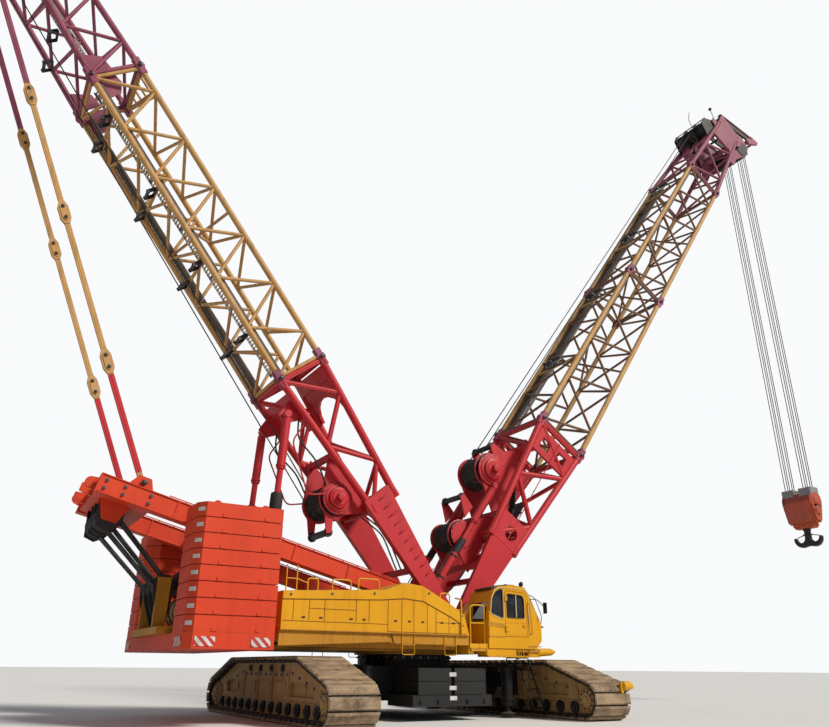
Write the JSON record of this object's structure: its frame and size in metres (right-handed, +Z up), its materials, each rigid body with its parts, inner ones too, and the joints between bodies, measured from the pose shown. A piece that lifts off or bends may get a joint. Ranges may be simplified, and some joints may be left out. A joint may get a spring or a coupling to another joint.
{
  "type": "crawler crane (half-scale model)",
  "caption": "Crawler crane with raised lattice boom, mast leaning back on a gantry, stacked counterweight, yellow machinery house, side cab and hook block.",
  "frame": {"origin": "middle of the whole object's box, on the ground", "axes": "+X towards the boom side, +Y to the left of the upper works, +Z up; the slewing axis stands at X = -1.550 m"},
  "size_m": [21.1211, 5.0538, 16.3817],
  "materials": {
    "body_yellow": "semi-gloss",
    "boom_red": "satin",
    "cab_glass": "clear",
    "chassis_black": "satin black",
    "insert_ochre": "worn satin",
    "rod_steel": "dark",
    "rope_steel": "greased wire rope",
    "seat_fabric": "dark",
    "sheave_black": "satin black",
    "shoe_steel": "worn, dusty",
    "tip_purple": "faded satin",
    "track_frame_paint": "dusty",
    "weight_grey": "matte dark grey",
    "weight_orange": "satin"
  },
  "bodies": {
    "chassis": {"carbody": "chassis_black", "carbody_weights_right": "weight_grey", "carbody_weights_left": "weight_grey", "track_frame_front": "track_frame_paint", "track_frame_rear": "track_frame_paint", "track_belt_front": "shoe_steel", "track_belt_rear": "shoe_steel"},
    "upper": {"slewing_frame": "body_yellow", "machinery_house_right": "body_yellow", "machinery_house_left": "body_yellow", "engine_block": "chassis_black", "cab_shell": "body_yellow", "cab_glass_front": "cab_glass", "cab_glass_left": "cab_glass", "cab_glass_quarter": "cab_glass", "operator_seat": "seat_fabric", "counterweight_tray": "weight_orange", "counterweight_stack_right": "weight_orange", "counterweight_stack_left": "weight_orange", "fuel_tank": "track_frame_paint", "gantry_sheaves_lower": "sheave_black"},
    "door": {"cab_door": "body_yellow", "cab_door_glass": "cab_glass"},
    "gantry": {"gantry": "weight_orange", "gantry_sheaves_upper": "sheave_black"},
    "pendants": {"pendant_right": "insert_ochre", "pendant_left": "insert_ochre"},
    "mast": {"mast_base": "boom_red", "mast_insert": "insert_ochre", "mast_tip": "tip_purple", "mast_head_sheaves": "sheave_black"},
    "mast_drum": {"mast_drum": "sheave_black"},
    "mast_stop_barrels": {"mast_stop_barrel_right": "boom_red", "mast_stop_barrel_left": "boom_red"},
    "mast_stop_rods": {"mast_stop_rod_right": "boom_red", "mast_stop_rod_left": "boom_red"},
    "boom": {"boom_base": "boom_red", "boom_insert_1": "insert_ochre", "boom_insert_2": "insert_ochre", "boom_tip": "tip_purple", "boom_head_sheaves": "sheave_black", "boom_guide_sheaves": "sheave_black"},
    "hoist_drum_1": {"hoist_drum_1": "sheave_black"},
    "hoist_drum_2": {"hoist_drum_2": "sheave_black"},
    "boom_stop_barrels": {"boom_stop_barrel_right": "boom_red", "boom_stop_barrel_left": "boom_red"},
    "boom_stop_rods": {"boom_stop_rod_right": "boom_red", "boom_stop_rod_left": "boom_red"},
    "hook_ropes": {"hoist_falls_right": "rope_steel", "hoist_falls_left": "rope_steel"},
    "block": {"hook_block": "weight_orange"},
    "hook": {"hook": "rod_steel"},
    "rear_drum": {"rear_drum": "sheave_black"}
  },
  "joints": [
    {"name": "slew", "type": "hinge", "parent": "chassis", "child": "upper", "pos_m": [-1.54994, 0, 0.89], "axis": [0, 0, 1], "continuous": true},
    {"name": "cab_door_hinge", "type": "hinge", "parent": "upper", "child": "door", "pos_m": [-0.66744, -1.61195, 1.2], "axis": [0, 0, -1], "range_deg": [0, 95]},
    {"name": "mast_luff", "type": "hinge", "parent": "upper", "child": "mast", "pos_m": [-1.14994, 0, 1.565], "axis": [0, 1, 0], "range_deg": [-4, 8]},
    {"name": "gantry_tilt", "type": "hinge", "parent": "upper", "child": "gantry", "pos_m": [-1.44994, 0, 1.61], "axis": [0, 1, 0], "range_deg": [-4.41, 8.7]},
    {"name": "pendant_tilt", "type": "hinge", "parent": "gantry", "child": "pendants", "pos_m": [-6.10653, 0, 3.02186], "axis": [0, 1, 0], "range_deg": [-0.6367, 0.3231]},
    {"name": "mast_stop_tilt", "type": "hinge", "parent": "upper", "child": "mast_stop_barrels", "pos_m": [-4.21494, 0, 1.65], "axis": [0, -1, 0], "range_deg": [-7.57, 3.84]},
    {"name": "mast_stop_slide", "type": "slide", "parent": "mast_stop_barrels", "child": "mast_stop_rods", "axis": [0.052, 0, 0.9986], "range_m": [-0.21983, 0.43327]},
    {"name": "boom_luff", "type": "hinge", "parent": "upper", "child": "boom", "pos_m": [-1.10994, 0, 1.16], "axis": [0, -1, 0], "range_deg": [-14.75, 28]},
    {"name": "boom_stop_tilt", "type": "hinge", "parent": "upper", "child": "boom_stop_barrels", "pos_m": [-1.39994, 0, 1.675], "axis": [0, -1, 0], "range_deg": [-17.22, 32.26]},
    {"name": "boom_stop_slide", "type": "slide", "parent": "boom_stop_barrels", "child": "boom_stop_rods", "axis": [0.5722, 0, 0.8201], "range_m": [-0.23536, 0.12566]},
    {"name": "hook_hang", "type": "hinge", "parent": "boom", "child": "hook_ropes", "pos_m": [10.08515, 0, 15.59706], "axis": [0, -1, 0], "range_deg": [-28.43, 15.18]},
    {"name": "hook_hoist", "type": "slide", "parent": "hook_ropes", "child": "block", "axis": [0, 0, -1], "range_m": [-9, 3], "deforming": ["hoist_falls_right", "hoist_falls_left"]},
    {"name": "hook_swivel", "type": "hinge", "parent": "block", "child": "hook", "pos_m": [10.31055, 0, 4.06], "axis": [0, 0, 1], "continuous": true},
    {"name": "mast_drum_turn", "type": "hinge", "parent": "mast", "child": "mast_drum", "pos_m": [-3.05714, 0, 3.21267], "axis": [0, 1, 0], "continuous": true},
    {"name": "hoist_drum_1_turn", "type": "hinge", "parent": "boom", "child": "hoist_drum_1", "pos_m": [-0.5854, 0, 2.87233], "axis": [0, 1, 0], "continuous": true},
    {"name": "hoist_drum_2_turn", "type": "hinge", "parent": "boom", "child": "hoist_drum_2", "pos_m": [0.10228, 0, 4.13127], "axis": [0, 1, 0], "continuous": true},
    {"name": "rear_drum_turn", "type": "hinge", "parent": "upper", "child": "rear_drum", "pos_m": [-5.14994, 0, 1.81], "axis": [0, 1, 0], "continuous": true}
  ],
  "couplings": [
    {"joint": "gantry_tilt", "follows": "mast_luff", "ratio": 1.0714},
    {"joint": "pendant_tilt", "follows": "mast_luff", "ratio": -0.07841},
    {"joint": "mast_stop_tilt", "follows": "mast_luff", "ratio": -0.93285},
    {"joint": "mast_stop_slide", "follows": "mast_luff", "m_per_rad": 3.0572},
    {"joint": "boom_stop_tilt", "follows": "boom_luff", "ratio": 1.1346},
    {"joint": "boom_stop_slide", "follows": "boom_luff", "m_per_rad": -0.47438},
    {"joint": "hook_hang", "follows": "boom_luff", "ratio": -1}
  ]
}
